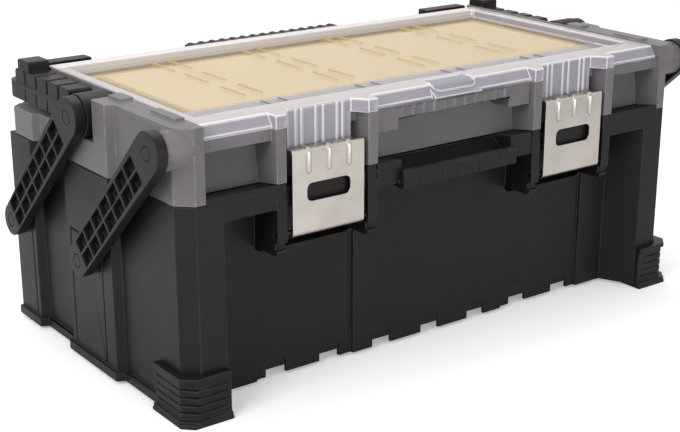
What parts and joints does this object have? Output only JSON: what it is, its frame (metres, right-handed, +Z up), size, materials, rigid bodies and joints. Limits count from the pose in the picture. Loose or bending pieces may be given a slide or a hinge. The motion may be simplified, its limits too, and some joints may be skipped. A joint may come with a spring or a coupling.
{
  "type": "cantilever tool case",
  "caption": "Deep black tool case with a grey organiser tray that swings up and back on parallel lattice arms, a clear hinged lid, front latches and a folding bail handle.",
  "frame": {"origin": "on the floor under the middle of the case", "axes": "+X along the length, +Y from the latches to the back, +Z up"},
  "size_m": [0.574, 0.3076, 0.2435],
  "materials": {
    "black_plastic": "moulded, fine satin grain",
    "grey_plastic": "moulded, satin",
    "clear_plastic": "clear, glossy, milky at its edges",
    "cream_plastic": "moulded, satin",
    "latch_steel": "pressed sheet, bright",
    "pin_steel": "drawn wire"
  },
  "bodies": {
    "base": {"base": "black_plastic", "front_grip": "black_plastic", "foot_front_left": "black_plastic", "foot_front_right": "black_plastic", "foot_rear_left": "black_plastic", "foot_rear_right": "black_plastic", "latch_pin_left": "pin_steel", "latch_pin_right": "pin_steel"},
    "rear_arms": {"rear_arm_left": "black_plastic", "rear_arm_right": "black_plastic", "rear_arm_low_pin_left": "black_plastic", "rear_arm_low_pin_right": "black_plastic", "rear_arm_top_pin_left": "black_plastic", "rear_arm_top_pin_right": "black_plastic"},
    "front_arms": {"front_arm_left": "black_plastic", "front_arm_right": "black_plastic", "front_arm_low_pin_left": "black_plastic", "front_arm_low_pin_right": "black_plastic", "front_arm_top_pin_left": "black_plastic", "front_arm_top_pin_right": "black_plastic"},
    "tray": {"tray": "grey_plastic", "bin_1": "cream_plastic", "bin_2": "cream_plastic", "bin_3": "cream_plastic", "bin_4": "cream_plastic", "bin_5": "cream_plastic", "lid_hinge_pin_left": "pin_steel", "lid_hinge_pin_right": "pin_steel"},
    "lid": {"lid": "clear_plastic"},
    "handle": {"carry_handle": "black_plastic", "handle_grip": "black_plastic"},
    "latch_left": {"latch_left": "latch_steel"},
    "latch_right": {"latch_right": "latch_steel"}
  },
  "joints": [
    {"name": "arms_swing", "type": "hinge", "parent": "base", "child": "rear_arms", "pos_m": [0, 0.125, 0.0995], "axis": [-1, 0, 0], "range_deg": [0, 80]},
    {"name": "tray_level", "type": "hinge", "parent": "rear_arms", "child": "tray", "pos_m": [0, -0.001, 0.2195], "axis": [-1, 0, 0], "range_deg": [-80, 0]},
    {"name": "front_arms_swing", "type": "hinge", "parent": "base", "child": "front_arms", "pos_m": [0, -0.005, 0.0995], "axis": [-1, 0, 0], "range_deg": [0, 80]},
    {"name": "lid_hinge", "type": "hinge", "parent": "tray", "child": "lid", "pos_m": [0, 0.1215, 0.2285], "axis": [-1, 0, 0], "range_deg": [0, 100]},
    {"name": "handle_swing", "type": "hinge", "parent": "tray", "child": "handle", "pos_m": [0, -0.001, 0.2195], "axis": [1, 0, 0], "range_deg": [0, 90]},
    {"name": "latch_left_swing", "type": "hinge", "parent": "base", "child": "latch_left", "pos_m": [-0.1348, -0.1435, 0.1385], "axis": [1, 0, 0], "range_deg": [0, 115]},
    {"name": "latch_right_swing", "type": "hinge", "parent": "base", "child": "latch_right", "pos_m": [0.1348, -0.1435, 0.1385], "axis": [1, 0, 0], "range_deg": [0, 115]}
  ],
  "couplings": [
    {"joint": "tray_level", "follows": "arms_swing", "ratio": -1},
    {"joint": "front_arms_swing", "follows": "arms_swing", "ratio": 1}
  ]
}
